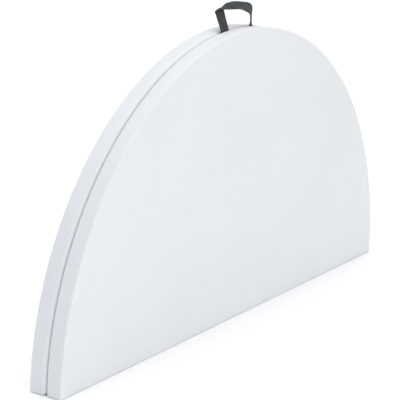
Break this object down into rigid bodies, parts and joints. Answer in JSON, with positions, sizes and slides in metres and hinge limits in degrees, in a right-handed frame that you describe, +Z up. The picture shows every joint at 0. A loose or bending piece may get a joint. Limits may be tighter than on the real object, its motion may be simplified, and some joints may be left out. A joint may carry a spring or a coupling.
{
  "type": "folding table",
  "caption": "Round folding table: half-round moulded tops folded face to face on a hinge, folding braced legs inside, webbing carry strap.",
  "frame": {"origin": "on the floor under the middle of the folded table, halfway between the two halves and halfway along the fold edge", "axes": "+X along the fold edge, +Y from half a through half b, +Z up"},
  "size_m": [1.524, 0.09, 0.8336],
  "materials": {
    "white_plastic": "moulded, fine satin texture",
    "frame_steel": "grey powder coat",
    "leg_steel": "grey powder coat",
    "bright_steel": "zinc plated",
    "grey_plastic": "moulded",
    "webbing": "woven webbing"
  },
  "bodies": {
    "hinge": {"hinge_links": "frame_steel", "hinge_pins": "bright_steel"},
    "half_a": {"tabletop_a": "white_plastic", "hinge_brackets_a": "frame_steel", "hinge_screws_a": "bright_steel", "frame_rail_a": "frame_steel", "rail_screws_a": "bright_steel", "leg_brackets_a": "frame_steel", "bracket_screws_a": "bright_steel", "leg_bolts_a": "bright_steel", "brace_guides_a": "frame_steel", "guide_screws_a": "bright_steel", "strap_ends": "webbing", "strap_clamps": "bright_steel", "strap_screws": "bright_steel"},
    "half_b": {"tabletop_b": "white_plastic", "hinge_brackets_b": "frame_steel", "hinge_screws_b": "bright_steel", "frame_rail_b": "frame_steel", "rail_screws_b": "bright_steel", "leg_brackets_b": "frame_steel", "bracket_screws_b": "bright_steel", "leg_bolts_b": "bright_steel", "brace_guides_b": "frame_steel", "guide_screws_b": "bright_steel"},
    "leg_a_right": {"leg_tube_a_right": "leg_steel", "leg_head_a_right": "grey_plastic", "foot_cap_a_right": "grey_plastic", "brace_rivet_a_right": "bright_steel"},
    "brace_a_right": {"brace_a_right": "bright_steel", "slide_pin_a_right": "bright_steel"},
    "leg_a_left": {"leg_tube_a_left": "leg_steel", "leg_head_a_left": "grey_plastic", "foot_cap_a_left": "grey_plastic", "brace_rivet_a_left": "bright_steel"},
    "brace_a_left": {"brace_a_left": "bright_steel", "slide_pin_a_left": "bright_steel"},
    "leg_b_right": {"leg_tube_b_right": "leg_steel", "leg_head_b_right": "grey_plastic", "foot_cap_b_right": "grey_plastic", "brace_rivet_b_right": "bright_steel"},
    "brace_b_right": {"brace_b_right": "bright_steel", "slide_pin_b_right": "bright_steel"},
    "leg_b_left": {"leg_tube_b_left": "leg_steel", "leg_head_b_left": "grey_plastic", "foot_cap_b_left": "grey_plastic", "brace_rivet_b_left": "bright_steel"},
    "brace_b_left": {"brace_b_left": "bright_steel", "slide_pin_b_left": "bright_steel"},
    "handle": {"carry_strap": "webbing"}
  },
  "joints": [
    {"name": "half_a_fold", "type": "hinge", "parent": "hinge", "child": "half_a", "pos_m": [0, -0.011, 0.0105], "axis": [1, 0, 0], "range_deg": [0, 90]},
    {"name": "half_b_fold", "type": "hinge", "parent": "hinge", "child": "half_b", "pos_m": [0, 0.011, 0.0105], "axis": [-1, 0, 0], "range_deg": [0, 90]},
    {"name": "leg_a_right_swing", "type": "hinge", "parent": "half_a", "child": "leg_a_right", "pos_m": [0.61011, -0.0155, 0.29805], "axis": [-0.5793, 0, -0.8151], "range_deg": [0, 80]},
    {"name": "brace_a_right_turn", "type": "hinge", "parent": "leg_a_right", "child": "brace_a_right", "pos_m": [0.45524, -0.0155, 0.40811], "axis": [-0.5793, 0, -0.8151], "range_deg": [-137.97, 0]},
    {"name": "leg_a_left_swing", "type": "hinge", "parent": "half_a", "child": "leg_a_left", "pos_m": [-0.61011, -0.0155, 0.29805], "axis": [-0.5793, 0, 0.8151], "range_deg": [0, 80]},
    {"name": "brace_a_left_turn", "type": "hinge", "parent": "leg_a_left", "child": "brace_a_left", "pos_m": [-0.45524, -0.0155, 0.40811], "axis": [-0.5793, 0, 0.8151], "range_deg": [-137.97, 0]},
    {"name": "leg_b_right_swing", "type": "hinge", "parent": "half_b", "child": "leg_b_right", "pos_m": [-0.61011, 0.0155, 0.29805], "axis": [0.5793, 0, -0.8151], "range_deg": [0, 80]},
    {"name": "brace_b_right_turn", "type": "hinge", "parent": "leg_b_right", "child": "brace_b_right", "pos_m": [-0.45524, 0.0155, 0.40811], "axis": [0.5793, 0, -0.8151], "range_deg": [-137.97, 0]},
    {"name": "leg_b_left_swing", "type": "hinge", "parent": "half_b", "child": "leg_b_left", "pos_m": [0.61011, 0.0155, 0.29805], "axis": [0.5793, 0, 0.8151], "range_deg": [0, 80]},
    {"name": "brace_b_left_turn", "type": "hinge", "parent": "leg_b_left", "child": "brace_b_left", "pos_m": [0.45524, 0.0155, 0.40811], "axis": [0.5793, 0, 0.8151], "range_deg": [-137.97, 0]},
    {"name": "strap_flop", "type": "hinge", "parent": "half_a", "child": "handle", "pos_m": [0, -0.0042, 0.7636], "axis": [1, 0, 0], "range_deg": [-75, 75]}
  ],
  "couplings": [
    {"joint": "leg_a_right_swing", "follows": "half_a_fold", "ratio": 0.88889},
    {"joint": "brace_a_right_turn", "follows": "half_a_fold", "ratio": -1.5329},
    {"joint": "leg_a_left_swing", "follows": "half_a_fold", "ratio": 0.88889},
    {"joint": "brace_a_left_turn", "follows": "half_a_fold", "ratio": -1.5329},
    {"joint": "leg_b_right_swing", "follows": "half_b_fold", "ratio": 0.88889},
    {"joint": "brace_b_right_turn", "follows": "half_b_fold", "ratio": -1.5329},
    {"joint": "leg_b_left_swing", "follows": "half_b_fold", "ratio": 0.88889},
    {"joint": "brace_b_left_turn", "follows": "half_b_fold", "ratio": -1.5329}
  ]
}
